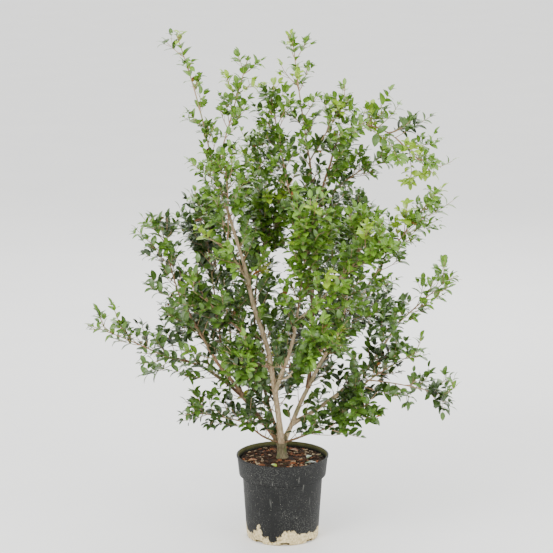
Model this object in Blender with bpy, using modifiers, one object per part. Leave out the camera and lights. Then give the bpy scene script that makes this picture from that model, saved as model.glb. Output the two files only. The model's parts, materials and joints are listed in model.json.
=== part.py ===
"""Potted burkwood osmanthus: an evergreen shrub in a black plastic nursery pot.

The pot stands on its flat underside, whose middle is the origin. X runs to the right of the
front view, Y away from it and Z up. Lengths in the tables are millimetres.
"""

import math
import random
from collections import namedtuple

import bmesh
import bpy
import numpy as np
from mathutils import Matrix, Vector
from mathutils.bvhtree import BVHTree

MM = 0.001
CLEAR = 0.3
SEED = 20

# Pot: a ten litre nursery pot, turned, with a deep collar under the rim.
RIM_RADIUS = 130.0
POT_HEIGHT = 238.0
COLLAR_HEIGHT = 57.0
COLLAR_FOOT_RADIUS = 122.5
BODY_TOP_RADIUS = 113.0
BASE_RADIUS = 101.0
WALL = 2.2
LIP_WIDTH = 5.0
FOOT_ROUNDING = 4.0
POT_STEPS = 36

# Drain notches are cut where the wall meets the floor.
NOTCH_COUNT = 8
NOTCH_WIDTH = 26.0
NOTCH_HEIGHT = 9.0
NOTCH_DEPTH = 10.0
NOTCH_TURN = math.radians(-86)

SOIL_BELOW_RIM = 13.0
SOIL_TOP = POT_HEIGHT - SOIL_BELOW_RIM
SOIL_CROWN = 3.0
SOIL_FLAT_RADIUS = 34.0
SOIL_STEPS = 24

# Trunk: one short stem that flares at the soil and widens again into its fork.
TRUNK_FOOT = Vector((-1.0, 0.0, SOIL_TOP + SOIL_CROWN + CLEAR))
TRUNK_FORK_HEIGHT = 289.0
TRUNK_LEAN = Vector((-3.0, 0.0, 0.0))
TRUNK_PROFILE = ((0.0, 18.5), (0.08, 15.5), (0.25, 13.4), (0.5, 13.2), (0.78, 15.6), (1.0, 19.5))
TRUNK_BEVEL = 4

LIMB_STEPS = 6
LIMB_WANDER = 0.012
THICK_LIMB = 4.6

# A bough leaves its parent at a share of the parent's length. Its middle stands off the
# straight line from there to its tip by the bow, and it tapers from thick to thin, in radius.
Bough = namedtuple("Bough", "parent along tip bow thick thin offset", defaults=((0, 0, 0),))
BOUGHS = {
    "bough_front_left": Bough("trunk", 1.0, (-185, -70, 1045), (26, -22, 0), 8.6, 3.3, (1, -9, 0)),
    "bough_left": Bough("trunk", 1.0, (-285, -38, 705), (-16, -4, 0), 6.6, 2.9, (-12, 3, 0)),
    "bough_right": Bough("trunk", 1.0, (244, -30, 745), (-12, 12, 0), 7.0, 3.0, (12, 4, 0)),
    "bough_rear_centre": Bough("trunk", 1.0, (-72, 105, 715), (-30, 20, 0), 5.2, 2.8, (0, 13, 0)),
    "bough_left_low": Bough("trunk", 0.74, (-104, -52, 345), (0, -8, -8), 3.4, 2.2),
    "bough_right_low": Bough("trunk", 0.72, (128, -92, 342), (0, -12, 4), 3.4, 2.2),
    "bough_lower_right": Bough("bough_right", 0.11, (318, -15, 618), (22, 12, -26), 6.2, 3.0),
    "bough_far_low_right": Bough("bough_lower_right", 0.46, (240, -62, 470), (0, -6, -8), 3.4, 2.4),
    "bough_front": Bough("bough_front_left", 0.20, (42, -132, 690), (8, -20, 0), 6.6, 3.2),
    "bough_front_right": Bough("bough_front", 0.88, (142, -178, 775), (0, -6, -10), 2.8, 2.2),
    "bough_front_low": Bough("bough_front", 0.18, (32, -158, 530), (0, -12, -10), 3.4, 2.5),
    "bough_shoulder": Bough("bough_front_left", 0.62, (-150, -112, 868), (-4, -10, 0), 2.8, 2.2),
    "bough_left_inner": Bough("bough_front_left", 0.33, (-98, -98, 600), (0, -8, -6), 3.2, 2.3),
    "bough_left_long": Bough("bough_left", 0.26, (-322, 38, 508), (0, 8, 28), 4.8, 3.0),
    "bough_left_rear": Bough("bough_left", 0.44, (-192, 98, 680), (-8, 12, 0), 3.6, 2.4),
    "bough_centre": Bough("bough_right", 0.33, (75, 52, 1065), (16, 24, 0), 5.4, 2.9),
    "bough_centre_left": Bough("bough_centre", 0.66, (18, 4, 985), (0, 8, -6), 2.8, 2.1),
    "bough_arch_rise": Bough("bough_centre", 0.62, (157, 20, 1146), (-8, 10, 12), 3.4, 2.7),
    "bough_arch_over": Bough("bough_arch_rise", 1.0, (313, 10, 1133), (-4, 2, 30), 2.6, 1.8),
    "bough_arch_inner": Bough("bough_centre", 0.50, (146, 74, 985), (-6, 6, -10), 2.8, 2.1),
    "bough_right_inner": Bough("bough_right", 0.62, (176, -98, 720), (4, -10, 0), 3.0, 2.2),
    "bough_rear_left": Bough("bough_left", 0.32, (-150, 175, 610), (-10, 16, -16), 3.8, 2.6),
    "bough_rear_right": Bough("bough_right", 0.40, (158, 175, 630), (8, 16, -16), 3.8, 2.6),
    "bough_rear_low": Bough("bough_rear_centre", 0.24, (8, 165, 470), (0, 10, -14), 3.4, 2.6),
}

# A mass of foliage grows from its bough's tip to its reach, as wide as its spread there.
Mass = namedtuple("Mass", "bough reach spread along", defaults=(1.0,))
MASSES = {
    "foliage_top_left": Mass("bough_front_left", (-292, -40, 1447), 84),
    "foliage_upper_left": Mass("bough_front_left", (-88, -110, 1388), 84),
    "foliage_shoulder": Mass("bough_shoulder", (-160, -150, 1140), 118),
    "foliage_left_inner": Mass("bough_left_inner", (-262, -190, 770), 128),
    "foliage_far_left": Mass("bough_left_long", (-552, 20, 612), 104),
    "foliage_left": Mass("bough_left", (-340, -30, 940), 124),
    "foliage_left_rear": Mass("bough_left_rear", (-232, 150, 965), 124),
    "foliage_low_left": Mass("bough_left_low", (-278, -96, 392), 106),
    "foliage_top_centre": Mass("bough_centre", (24, 40, 1424), 84),
    "foliage_upper_right": Mass("bough_centre", (192, 10, 1264), 86),
    "foliage_upper_middle": Mass("bough_centre_left", (-38, -20, 1285), 104),
    "foliage_centre": Mass("bough_rear_centre", (5, 20, 1010), 128),
    "foliage_rear_top": Mass("bough_rear_centre", (-50, 235, 1140), 124),
    "foliage_arch_top": Mass("bough_arch_rise", (292, 44, 1208), 56, 0.94),
    "foliage_arch_end": Mass("bough_arch_over", (430, 0, 1022), 92),
    "foliage_arch_inner": Mass("bough_arch_inner", (314, 100, 1098), 72),
    "foliage_front": Mass("bough_front", (88, -205, 995), 122),
    "foliage_front_right": Mass("bough_front_right", (290, -240, 925), 108),
    "foliage_front_low": Mass("bough_front_low", (150, -335, 650), 128),
    "foliage_front_left": Mass("bough_front_low", (-130, -320, 575), 128),
    "foliage_right": Mass("bough_right", (432, -40, 1012), 122),
    "foliage_right_inner": Mass("bough_right_inner", (236, -95, 965), 112),
    "foliage_far_right": Mass("bough_lower_right", (482, -20, 770), 100),
    "foliage_right_middle": Mass("bough_far_low_right", (402, -40, 560), 98),
    "foliage_far_low_right": Mass("bough_far_low_right", (476, -65, 420), 86),
    "foliage_low_right": Mass("bough_right_low", (250, -215, 455), 112),
    "foliage_rear_left_high": Mass("bough_rear_left", (-235, 340, 890), 132),
    "foliage_rear_left_low": Mass("bough_rear_left", (-335, 310, 525), 122),
    "foliage_rear_right_high": Mass("bough_rear_right", (235, 330, 930), 132),
    "foliage_rear_right_low": Mass("bough_rear_right", (345, 295, 545), 122),
    "foliage_rear_low": Mass("bough_rear_low", (20, 415, 490), 128),
}

# Foliage: opposite leaves on three-sided twigs. The leaves are larger than life, because
# there are fewer of them than on the plant.
LEAF_TOTAL = 430
LEAF_LENGTH = 80.0
LEAF_WIDTH = 35.0
LEAF_THICKNESS = 2.6
LEAF_SHOULDER = 0.46
LEAF_RIB = 0.24
LEAF_ARCH = 0.12
LEAF_SINK = 0.3
LEAF_ANGLE = math.radians(56)
PAIR_FIRST = 4.0
PAIR_STEP = 40.0
PAIR_STAGGER = 1.8
STEM_SHARE = 0.3
STEM_RADIUS = 2.2
STEM_TIP_RADIUS = 1.5
TWIG_RADIUS = 1.8
TWIG_TIP_RADIUS = 1.3
TWIG_ANGLE = math.radians(50)
TWIG_LEAST = 16.0
LIFT = 0.28
LOWEST_LEAF = POT_HEIGHT + 12.0
LEAF_SPINS = (0.0, 0.4, -0.4, 0.8, -0.8)
STEM_STEPS = 3
SEAT_TRIES = 1600
STEM_SAG = 0.03
TWIG_CHOICES = 7
TRIES_A_LEAF = 3
SPACE_MARGIN = 1.6
LIMB_MARGIN = 1.2


def clear_scene():
    for old in list(bpy.data.objects):
        bpy.data.objects.remove(old, do_unlink=True)


def add_collection(name):
    made = bpy.data.collections.new(name)
    bpy.context.scene.collection.children.link(made)
    return made


def add_material(name, colour, roughness):
    made = bpy.data.materials.new(name)
    made.use_nodes = True
    shader = made.node_tree.nodes["Principled BSDF"]
    shader.inputs["Base Color"].default_value = (*colour, 1.0)
    shader.inputs["Roughness"].default_value = roughness
    shader.inputs["Metallic"].default_value = 0.0
    return made


def add_object(name, mesh, material, collection):
    made = bpy.data.objects.new(name, mesh)
    made.data.materials.clear()
    made.data.materials.append(material)
    collection.objects.link(made)
    return made


def mesh_from(name, bm):
    mesh = bpy.data.meshes.new(name)
    bm.to_mesh(mesh)
    bm.free()
    return mesh


def as_evaluated(thing):
    """A plain mesh of what the object's modifiers or its curve make."""
    graph = bpy.context.evaluated_depsgraph_get()
    mesh = bpy.data.meshes.new_from_object(thing.evaluated_get(graph), depsgraph=graph)
    bm = bmesh.new()
    bm.from_mesh(mesh)
    bmesh.ops.remove_doubles(bm, verts=bm.verts, dist=1e-6)
    bm.to_mesh(mesh)
    bm.free()
    return mesh


def turned(name, profile, steps, material, collection):
    """A profile in the XZ plane, from the axis round to the axis again, turned about Z."""
    bm = bmesh.new()
    points = [bm.verts.new((x * MM, 0.0, z * MM)) for x, z in profile]
    for here, there in zip(points, points[1:]):
        bm.edges.new((here, there))
    thing = add_object(name, mesh_from(name, bm), material, collection)
    screw = thing.modifiers.new("turn", "SCREW")
    screw.axis = "Z"
    screw.steps = steps
    screw.render_steps = steps
    screw.use_merge_vertices = True
    screw.merge_threshold = 1e-5
    return thing


def rounded_corner(centre, radius, first, last, steps):
    """Points on an arc, its angles in degrees from +X towards +Z."""
    angles = [math.radians(first + (last - first) * k / steps) for k in range(steps + 1)]
    return [(centre[0] + radius * math.cos(a), centre[1] + radius * math.sin(a)) for a in angles]


def wall_radius(height):
    """The outer radius of the pot's body below its collar."""
    share = height / (POT_HEIGHT - COLLAR_HEIGHT)
    return BASE_RADIUS + (BODY_TOP_RADIUS - BASE_RADIUS) * share


def make_pot(material, collection):
    collar_foot = POT_HEIGHT - COLLAR_HEIGHT
    inner_collar = COLLAR_FOOT_RADIUS - WALL
    outside = [
        (RIM_RADIUS - LIP_WIDTH, POT_HEIGHT),
        (RIM_RADIUS - 1.0, POT_HEIGHT),
        (RIM_RADIUS, POT_HEIGHT - 1.0),
        (RIM_RADIUS - 0.4, POT_HEIGHT - 5.0),
        (RIM_RADIUS - 2.4, POT_HEIGHT - 6.5),
        (COLLAR_FOOT_RADIUS, collar_foot + 1.5),
        (COLLAR_FOOT_RADIUS - 1.5, collar_foot),
        (BODY_TOP_RADIUS + 2.0, collar_foot),
        (BODY_TOP_RADIUS, collar_foot - 3.0),
        (wall_radius(FOOT_ROUNDING), FOOT_ROUNDING),
    ]
    foot_centre = (wall_radius(FOOT_ROUNDING) - FOOT_ROUNDING, FOOT_ROUNDING)
    foot = rounded_corner(foot_centre, FOOT_ROUNDING, 0, -90, 3)[1:]
    inside = [
        (0.0, WALL),
        (BASE_RADIUS - WALL - 2.0, WALL),
        (wall_radius(6.0) - WALL, 6.0),
        (BODY_TOP_RADIUS - WALL, collar_foot - 5.0),
        (inner_collar, collar_foot + 3.0),
        (RIM_RADIUS - LIP_WIDTH, POT_HEIGHT - 4.0),
    ]
    pot = turned("pot", inside + outside + foot + [(0.0, 0.0)], POT_STEPS, material, collection)
    return pot


def make_notches(pot, material, cutters):
    """Drain notches round the base, in one cutter."""
    bm = bmesh.new()
    for k in range(NOTCH_COUNT):
        turn = Matrix.Rotation(NOTCH_TURN + 2 * math.pi * k / NOTCH_COUNT, 4, "Z")
        size = Matrix.Diagonal((2 * NOTCH_DEPTH * MM, NOTCH_WIDTH * MM, 2 * NOTCH_HEIGHT * MM, 1))
        place = Matrix.Translation((BASE_RADIUS * MM, 0.0, 0.0))
        bmesh.ops.create_cube(bm, size=1.0, matrix=turn @ place @ size)
    cutter = add_object("drain_notches", mesh_from("drain_notches", bm), material, cutters)
    cutter.hide_render = True
    cutter.display_type = "WIRE"
    cut = pot.modifiers.new("drain", "BOOLEAN")
    cut.operation = "DIFFERENCE"
    cut.object = cutter


def make_soil(material, collection):
    """The potting mix, clear of the pot all round, with a low crown to the trunk."""
    gap = WALL + CLEAR
    collar_foot = POT_HEIGHT - COLLAR_HEIGHT
    floor = NOTCH_HEIGHT + 1.0
    profile = [
        (0.0, SOIL_TOP + SOIL_CROWN),
        (SOIL_FLAT_RADIUS, SOIL_TOP + SOIL_CROWN),
        (80.0, SOIL_TOP + 1.0),
        (COLLAR_FOOT_RADIUS - gap - 1.0, SOIL_TOP - 1.0),
        (COLLAR_FOOT_RADIUS - gap - 1.0, collar_foot + 3.0),
        (BODY_TOP_RADIUS - gap - 0.6, collar_foot - 6.0),
        (wall_radius(floor + 6.0) - gap - 0.6, floor + 6.0),
        (BASE_RADIUS - NOTCH_DEPTH - 3.0, floor),
        (BASE_RADIUS - NOTCH_DEPTH - 3.0, WALL + CLEAR),
        (0.0, WALL + CLEAR),
    ]
    return turned("soil", profile, SOIL_STEPS, material, collection)


def bend(start, tip, bow, steps):
    """Points along a curve whose middle stands off the straight line by the bow."""
    control = (start + tip) / 2 + 2 * bow
    shares = [k / steps for k in range(steps + 1)]
    return [
        start * (1 - s) ** 2 + control * (2 * s * (1 - s)) + tip * s**2 for s in shares
    ]


def wander(points, size, rng):
    """The same points with small sideways steps that vanish at both ends."""
    last = len(points) - 1
    moved = []
    for k, point in enumerate(points):
        hold = math.sin(math.pi * k / last)
        step = Vector((rng.uniform(-1, 1), rng.uniform(-1, 1), rng.uniform(-0.5, 0.5)))
        moved.append(point + step * (size * hold))
    return moved


def point_along(points, share):
    place = share * (len(points) - 1)
    k = min(int(place), len(points) - 2)
    return points[k].lerp(points[k + 1], place - k)


def tube(name, points, radii, bevel, material, collection):
    """A round limb: a poly curve with a radius at each point, made a mesh with welded caps."""
    curve = bpy.data.curves.new(name, "CURVE")
    curve.dimensions = "3D"
    curve.bevel_depth = MM
    curve.bevel_resolution = bevel
    curve.use_fill_caps = True
    spline = curve.splines.new("POLY")
    spline.points.add(len(points) - 1)
    for place, point, radius in zip(spline.points, points, radii):
        place.co = (*(point * MM), 1.0)
        place.radius = radius
    guide = bpy.data.objects.new(name + "_line", curve)
    collection.objects.link(guide)
    mesh = as_evaluated(guide)
    bpy.data.objects.remove(guide, do_unlink=True)
    return add_object(name, mesh, material, collection)


def tree_of(mesh, frame):
    """The mesh's faces, placed by the frame, for tests of what touches what."""
    places = [frame @ corner.co for corner in mesh.vertices]
    return BVHTree.FromPolygons(places, [tuple(face.vertices) for face in mesh.polygons])


def surface_of(thing):
    """A finished object's surface in millimetres."""
    return tree_of(thing.data, Matrix.Scale(1 / MM, 4))


def disc_at(point, along, radius, count=16, rings=4):
    """Places all over a flat round end."""
    side = along.orthogonal().normalized()
    other = along.cross(side)
    angles = [2 * math.pi * k / count for k in range(count)]
    spokes = [side * math.cos(a) + other * math.sin(a) for a in angles]
    sizes = [radius * k / rings for k in range(1, rings + 1)]
    return [point] + [point + spoke * size for spoke in spokes for size in sizes]


def seat_share(points, radius, parent, steps):
    """The first share of a path at which a flat end of this radius is clear of its parent."""
    for k in range(1, SEAT_TRIES):
        share = k / SEAT_TRIES
        here = point_along(points, share)
        along = (point_along(points, share + (1 - share) / steps) - here).normalized()
        gaps = []
        for corner in disc_at(here, along, radius):
            hit, normal, _, distance = parent.find_nearest(corner)
            outside = (corner - hit).dot(normal) > 0
            gaps.append(distance if outside else -1.0)
        if min(gaps) >= CLEAR:
            return share
    raise ValueError("this limb never leaves its parent")


def trimmed(points, share, steps):
    return [point_along(points, share + (1 - share) * k / steps) for k in range(steps + 1)]


def make_trunk(material, collection):
    top = Vector((0.0, 0.0, TRUNK_FORK_HEIGHT)) + TRUNK_LEAN
    points = [TRUNK_FOOT.lerp(top, share) for share, _ in TRUNK_PROFILE]
    points[1].x = TRUNK_FOOT.x
    points[-2].x = top.x
    radii = [radius for _, radius in TRUNK_PROFILE]
    trunk = tube("trunk", points, radii, TRUNK_BEVEL, material, collection)
    return trunk, points, radii


def make_limbs(material, collection):
    """The trunk and its boughs, each with its path and its radii."""
    trunk, points, radii = make_trunk(material, collection)
    limbs = {"trunk": (trunk, points, radii)}
    for name, bough in BOUGHS.items():
        rng = random.Random(f"{SEED} {name}")
        parent, parent_points, _ = limbs[bough.parent]
        start = point_along(parent_points, bough.along) + Vector(bough.offset)
        path = bend(start, Vector(bough.tip), Vector(bough.bow), 4 * LIMB_STEPS)
        share = seat_share(path, bough.thick, surface_of(parent), LIMB_STEPS)
        points = trimmed(path, share, LIMB_STEPS)
        length = (points[-1] - points[0]).length
        points = wander(points, LIMB_WANDER * length, rng)
        shares = [k / LIMB_STEPS for k in range(LIMB_STEPS + 1)]
        radii = [bough.thin + (bough.thick - bough.thin) * (1 - s) ** 0.9 for s in shares]
        bevel = 2 if bough.thick > THICK_LIMB else 1
        limb = tube(name, points, radii, bevel, material, collection)
        limbs[name] = (limb, points, radii)
    return limbs


def capsules_of(limbs):
    """Every stretch of every limb as start, end and radius, for quick distances."""
    rows = []
    for _, points, radii in limbs.values():
        for k in range(len(points) - 1):
            rows.append((*points[k], *points[k + 1], max(radii[k], radii[k + 1])))
    return np.array(rows)


def distance_to_lines(places, starts, ends):
    """How far each place is from each straight line between a start and an end."""
    along = ends - starts
    reach = places[:, None, :] - starts[None, :, :]
    size = np.maximum((along**2).sum(1), 1e-9)
    share = np.clip((reach * along[None]).sum(2) / size[None], 0.0, 1.0)
    off = reach - share[..., None] * along[None]
    return np.sqrt((off**2).sum(2)), share


class Spaces:
    """Each mass keeps to the places that are nearer to its own line than to another's."""

    def __init__(self, limbs):
        self.names = list(MASSES)
        starts = [point_along(limbs[m.bough][1], m.along) for m in MASSES.values()]
        self.starts = np.array([tuple(start) for start in starts])
        self.ends = np.array([m.reach for m in MASSES.values()], float)
        self.spreads = np.array([m.spread for m in MASSES.values()], float)
        self.capsules = capsules_of(limbs)
        self.surfaces = [surface_of(limb) for limb, _, _ in limbs.values()]

    def width_at(self, share):
        """A space is narrow at its stem, widest past its middle and rounded at its end."""
        return 0.42 + 0.58 * np.sin(np.pi * np.clip(share * 0.9 + 0.08, 0, 1))

    def holds(self, name, places):
        """Whether all these places are in the mass's own space and clear of every limb."""
        own = self.names.index(name)
        places = np.array(places, float)
        if places[:, 2].min() < LOWEST_LEAF:
            return False
        far, share = distance_to_lines(places, self.starts, self.ends)
        allowed = self.spreads[own] * self.width_at(share[:, own])
        beyond = (places - self.ends[own]) @ (self.ends[own] - self.starts[own])
        if (far[:, own] > allowed).any() or (beyond > 0).any():
            return False
        scaled = far / self.spreads[None]
        margin = SPACE_MARGIN / self.spreads[own]
        others = np.delete(scaled, own, axis=1).min(axis=1)
        if (others - scaled[:, own] < 2 * margin).any():
            return False
        return self.clear_of_limbs(places, LIMB_MARGIN)

    def clear_of_limbs(self, places, margin):
        near, _ = distance_to_lines(
            np.array(places, float), self.capsules[:, 0:3], self.capsules[:, 3:6]
        )
        return bool((near > self.capsules[None, :, 6] + margin).all())


def leaf_template():
    """An eight-faced leaf along +X: root at the origin, rib side up, tip arched down."""
    bm = bmesh.new()
    bmesh.ops.create_uvsphere(bm, u_segments=4, v_segments=2, radius=1.0)
    middle = LEAF_SHOULDER * LEAF_LENGTH
    for corner in bm.verts:
        x, y, z = corner.co
        if abs(x) > 0.5:
            root = x < 0
            drop = 0.0 if root else -LEAF_ARCH * LEAF_LENGTH
            corner.co = (-LEAF_SINK if root else LEAF_LENGTH, 0.0, drop)
        elif abs(y) > 0.5:
            corner.co = (middle, y * LEAF_WIDTH / 2, 0.04 * LEAF_LENGTH)
        else:
            corner.co = (LEAF_RIB * LEAF_LENGTH, 0.0, z * LEAF_THICKNESS / 2 + 0.5)
    bmesh.ops.recalc_face_normals(bm, faces=bm.faces)
    return mesh_from("leaf", bm)


def leaf_frame(root, along, up):
    """A matrix that lays the leaf along a direction with its upper face to the sky."""
    side = up.cross(along).normalized()
    face = along.cross(side).normalized()
    turn = Matrix((along, side, face)).transposed().to_4x4()
    return Matrix.Translation(root) @ turn


def twig_mesh(points, radii):
    """A three-sided twig: a triangle extruded from point to point."""
    bm = bmesh.new()
    along = (points[1] - points[0]).normalized()
    turn = along.to_track_quat("Z", "X")
    place = Matrix.Translation(points[0]) @ turn.to_matrix().to_4x4()
    bmesh.ops.create_circle(bm, cap_ends=True, radius=radii[0], segments=3, matrix=place)
    face = bm.faces[:][0]
    for k in range(1, len(points)):
        made = bmesh.ops.extrude_face_region(bm, geom=[face])
        if k > 1:
            bmesh.ops.delete(bm, geom=[face], context="FACES_ONLY")
        corners = [item for item in made["geom"] if isinstance(item, bmesh.types.BMVert)]
        face = [item for item in made["geom"] if isinstance(item, bmesh.types.BMFace)][0]
        centre = sum((corner.co for corner in corners), Vector()) / len(corners)
        for corner in corners:
            corner.co = points[k] + (corner.co - centre) * (radii[k] / radii[k - 1])
    bmesh.ops.recalc_face_normals(bm, faces=bm.faces)
    return mesh_from("twig", bm)


def leaf_samples(frame):
    """Places on a leaf that are tested against its space and its neighbours."""
    middle = LEAF_SHOULDER * LEAF_LENGTH
    half = LEAF_WIDTH / 2
    local = (
        (0.22 * LEAF_LENGTH, half * 0.5, 1.0),
        (0.22 * LEAF_LENGTH, -half * 0.5, 1.0),
        (middle, half, 2.0),
        (middle, -half, 2.0),
        (middle, 0.0, 2.0),
        (0.72 * LEAF_LENGTH, half * 0.5, -2.0),
        (0.72 * LEAF_LENGTH, -half * 0.5, -2.0),
        (LEAF_LENGTH, 0.0, -LEAF_ARCH * LEAF_LENGTH),
    )
    return [frame @ Vector(place) for place in local]


def start_of_stem(mass, limbs):
    """Where a mass's stem begins, side by side with another stem at the same tip."""
    _, points, radii = limbs[mass.bough]
    tip = point_along(points, mass.along)
    fellows = [m for m in MASSES.values() if m.bough == mass.bough and m.along == 1.0]
    if mass.along < 1.0 or len(fellows) < 2:
        return tip
    along = (points[-1] - points[-2]).normalized()
    apart = Vector(fellows[0].reach) - Vector(fellows[1].reach)
    side = (apart - along * apart.dot(along)).normalized()
    shift = max(radii[-1] - STEM_RADIUS * 0.55, STEM_RADIUS)
    return tip + side * (shift if fellows[0] is mass else -shift)


class Sprays:
    """One mass as it grows: its twigs, its leaves and what they may not touch."""

    def __init__(self, name, spaces, leaf, leaf_count):
        self.name = name
        self.spaces = spaces
        self.leaf = leaf
        self.leaf_count = leaf_count
        self.twigs = []
        self.twig_trees = []
        self.leaves = []
        self.leaf_trees = []

    def middles(self):
        return [frame @ Vector((LEAF_LENGTH / 2, 0, 0)) for frame in self.leaves]

    def full(self):
        return len(self.leaves) >= self.leaf_count

    def add_twig(self, points, radii):
        mesh = twig_mesh(points, radii)
        tree = tree_of(mesh, Matrix())
        bpy.data.meshes.remove(mesh)
        touched = self.leaf_trees + self.twig_trees[1:] + self.spaces.surfaces
        if any(tree.overlap(other) for other in touched):
            return False
        self.twigs.append((points, radii))
        self.twig_trees.append(tree)
        return True

    def drop_last_twig(self):
        self.twigs.pop()
        self.twig_trees.pop()

    def try_leaf(self, root, along, up, own_twig):
        frame = leaf_frame(root, along, up)
        if not self.spaces.holds(self.name, leaf_samples(frame)):
            return False
        tree = tree_of(self.leaf, frame)
        others = [t for k, t in enumerate(self.twig_trees) if k != own_twig]
        others += self.leaf_trees + self.spaces.surfaces
        if any(tree.overlap(other) for other in others):
            return False
        self.leaves.append(frame)
        self.leaf_trees.append(tree)
        return True

    def try_leaf_near(self, root, along, up, own_twig):
        for spin in LEAF_SPINS:
            spun = Matrix.Rotation(spin, 3, up) @ along
            if self.try_leaf(root, spun.normalized(), up, own_twig):
                return

    def dress(self, own_twig, pairs):
        """A terminal leaf, then opposite pairs down the twig, each at right angles to the last."""
        points, _ = self.twigs[own_twig]
        along = (points[-1] - points[-2]).normalized()
        up = (Vector((0, 0, 1)) - along * along.z).normalized()
        self.try_leaf_near(points[-1] - along, along, up, own_twig)
        length = sum((b - a).length for a, b in zip(points, points[1:]))
        for pair in range(pairs):
            back = PAIR_FIRST + pair * PAIR_STEP
            if self.full() or back > length - PAIR_FIRST:
                break
            flat = pair % 2 == 0
            side = along.cross(up) if flat else up
            for way in (1, -1):
                node = point_along(points, 1 - back / length)
                direction = along * math.cos(LEAF_ANGLE) + side * way * math.sin(LEAF_ANGLE)
                face = up if flat else along * -way + up * 0.6
                face = (face - direction * face.dot(direction)).normalized()
                self.try_leaf_near(node, direction.normalized(), face, own_twig)
                back += PAIR_STAGGER


def twig_choices(name, stem, spaces, rng):
    """A few side twigs that could leave this stem, all of them within the mass's space."""
    found = []
    for _ in range(TWIG_CHOICES):
        share = rng.uniform(0.06, 0.95)
        foot = point_along(stem, share)
        along = (point_along(stem, share + 0.04) - foot).normalized()
        turn = rng.uniform(0, 2 * math.pi)
        side = Matrix.Rotation(turn, 3, along) @ along.orthogonal().normalized()
        out = along * math.cos(TWIG_ANGLE) + side * math.sin(TWIG_ANGLE) + Vector((0, 0, LIFT))
        room = MASSES[name].spread * spaces.width_at(share * 0.9)
        length = max(TWIG_LEAST, room * rng.uniform(0.7, 1.05) - LEAF_LENGTH * 0.5)
        tip = foot + out.normalized() * length
        if spaces.holds(name, [foot.lerp(tip, part) for part in (0.35, 0.7, 1.0)]):
            found.append((foot, tip))
    return found


def openness(place, crown):
    """How far a place is from the nearest leaf in the whole crown."""
    return min((place - other).length for other in crown)


def grow_mass(name, limbs, spaces, leaf, leaf_count, crown):
    """The stem, twigs and leaves of one mass: each twig goes where the crown is thinnest."""
    rng = random.Random(f"{SEED} {name}")
    mass = MASSES[name]
    start = start_of_stem(mass, limbs)
    reach = Vector(mass.reach)
    end = reach - (reach - start).normalized() * (LEAF_LENGTH * 0.95)
    sag = Vector((rng.uniform(-1, 1), rng.uniform(-1, 1), 0.6)) * STEM_SAG * (end - start).length
    path = bend(start, end, sag, 8)
    share = seat_share(path, STEM_RADIUS, surface_of(limbs[mass.bough][0]), STEM_STEPS)
    stem = trimmed(path, share, STEM_STEPS)
    sprays = Sprays(name, spaces, leaf, leaf_count)
    taper = (STEM_TIP_RADIUS - STEM_RADIUS) / STEM_STEPS
    if not sprays.add_twig(stem, [STEM_RADIUS + taper * k for k in range(STEM_STEPS + 1)]):
        raise ValueError(name + ": a limb stands in the way of its stem")
    sprays.dress(0, max(2, round(leaf_count * STEM_SHARE / 2)))
    for _ in range(round(leaf_count * TRIES_A_LEAF)):
        if sprays.full():
            break
        known = crown + sprays.middles()
        found = twig_choices(name, stem, spaces, rng)
        found.sort(key=lambda twig: openness(twig[1], known), reverse=True)
        if not found or not sprays.add_twig(list(found[0]), [TWIG_RADIUS, TWIG_TIP_RADIUS]):
            continue
        before = len(sprays.leaves)
        sprays.dress(len(sprays.twigs) - 1, 2)
        if len(sprays.leaves) == before:
            sprays.drop_last_twig()
    crown.extend(sprays.middles())
    return sprays


def fuse(sprays, material, collection):
    """One solid: the stem joined with the collection of its twigs and leaves."""
    pieces = add_collection(sprays.name + "_pieces")
    whole = add_object(sprays.name, twig_mesh(*sprays.twigs[0]), material, collection)
    for points, radii in sprays.twigs[1:]:
        add_object("twig", twig_mesh(points, radii), material, pieces)
    for frame in sprays.leaves:
        blade = sprays.leaf.copy()
        blade.transform(frame)
        add_object("leaf", blade, material, pieces)
    for thing in [whole, *pieces.objects]:
        thing.data.transform(Matrix.Scale(MM, 4))
    join = whole.modifiers.new("join", "BOOLEAN")
    join.operation = "UNION"
    join.operand_type = "COLLECTION"
    join.collection = pieces
    join.solver = "MANIFOLD"
    joined = as_evaluated(whole)
    whole.modifiers.clear()
    whole.data = joined
    for piece in list(pieces.objects):
        bpy.data.objects.remove(piece, do_unlink=True)
    bpy.data.collections.remove(pieces)
    keep_largest(whole)
    return whole


def keep_largest(thing):
    """Drops loose scraps and the inner shells of sealed hollows."""
    bm = bmesh.new()
    bm.from_mesh(thing.data)
    left = set(bm.faces)
    shells = []
    while left:
        shell = {left.pop()}
        edge_of = list(shell)
        while edge_of:
            face = edge_of.pop()
            for edge in face.edges:
                for other in edge.link_faces:
                    if other in left:
                        left.remove(other)
                        shell.add(other)
                        edge_of.append(other)
        shells.append(shell)
    shells.sort(key=len, reverse=True)
    scraps = [face for shell in shells[1:] for face in shell]
    if scraps:
        bmesh.ops.delete(bm, geom=scraps, context="FACES")
    bm.to_mesh(thing.data)
    bm.free()


def leaf_shares():
    """How many leaves each mass gets, by the size of its space."""
    sizes = {}
    for name, mass in MASSES.items():
        length = (Vector(mass.reach) - Vector(BOUGHS[mass.bough].tip)).length
        sizes[name] = (length + mass.spread) * mass.spread
    whole = sum(sizes.values())
    return {name: round(LEAF_TOTAL * size / whole) for name, size in sizes.items()}


def make_foliage(limbs, material, collection):
    spaces = Spaces(limbs)
    leaf = leaf_template()
    crown = []
    for name, count in leaf_shares().items():
        sprays = grow_mass(name, limbs, spaces, leaf, count, crown)
        fuse(sprays, material, collection)
    bpy.data.meshes.remove(leaf)


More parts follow.
